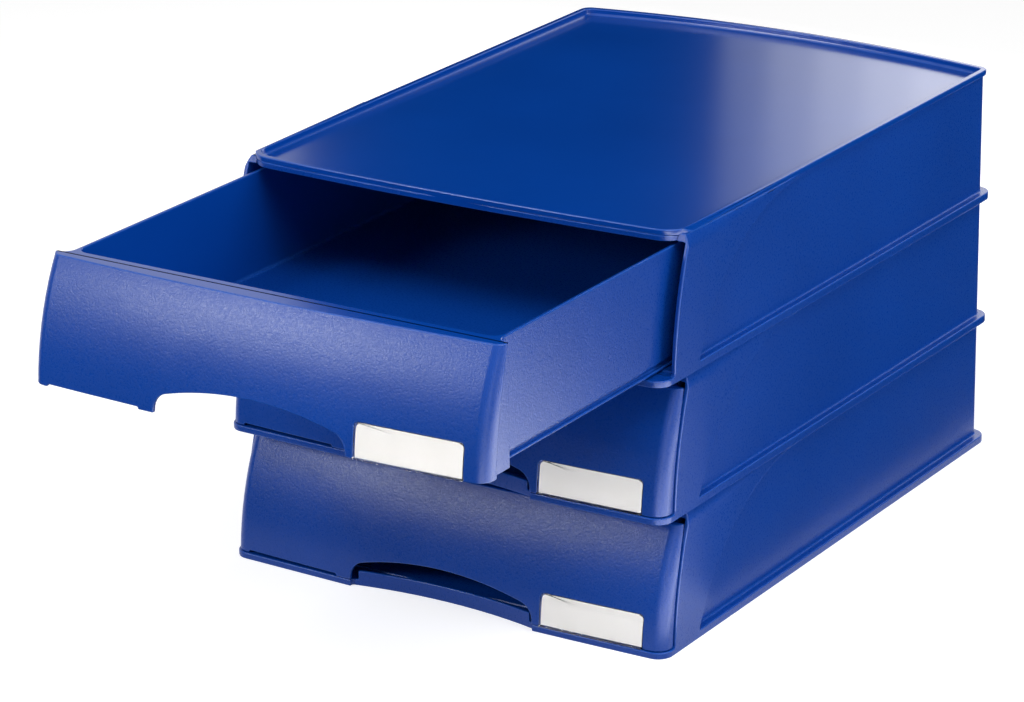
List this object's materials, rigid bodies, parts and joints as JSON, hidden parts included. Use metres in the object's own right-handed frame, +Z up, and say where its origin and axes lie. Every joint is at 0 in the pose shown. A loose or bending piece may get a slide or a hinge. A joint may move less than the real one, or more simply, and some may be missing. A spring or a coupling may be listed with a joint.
{
  "type": "letter tray stack with drawers",
  "caption": "Stack of moulded letter trays, each with a pull-out drawer that has a finger arch and a label window; the top drawer stands open.",
  "frame": {"origin": "on the desk, at the middle of the stack's box with the top drawer 150 mm open as it rests", "axes": "+X to the right seen from the front, +Y to the back, +Z up"},
  "size_m": [0.255, 0.5068, 0.209],
  "materials": {
    "housing_plastic": "satin",
    "drawer_plastic": "satin",
    "window_plastic": "polished",
    "label_card": "matte"
  },
  "bodies": {
    "stack": {"housing_lower": "housing_plastic", "housing_middle": "housing_plastic", "housing_upper": "housing_plastic"},
    "drawer_lower": {"drawer_lower": "drawer_plastic", "label_window_lower": "window_plastic", "label_card_lower": "label_card"},
    "drawer_middle": {"drawer_middle": "drawer_plastic", "label_window_middle": "window_plastic", "label_card_middle": "label_card"},
    "drawer_upper": {"drawer_upper": "drawer_plastic", "label_window_upper": "window_plastic", "label_card_upper": "label_card"}
  },
  "joints": [
    {"name": "drawer_lower_slide", "type": "slide", "parent": "stack", "child": "drawer_lower", "axis": [0, -1, 0], "range_m": [0, 0.24]},
    {"name": "drawer_middle_slide", "type": "slide", "parent": "stack", "child": "drawer_middle", "axis": [0, -1, 0], "range_m": [0, 0.24]},
    {"name": "drawer_upper_slide", "type": "slide", "parent": "stack", "child": "drawer_upper", "axis": [0, -1, 0], "range_m": [-0.15, 0.09]}
  ]
}
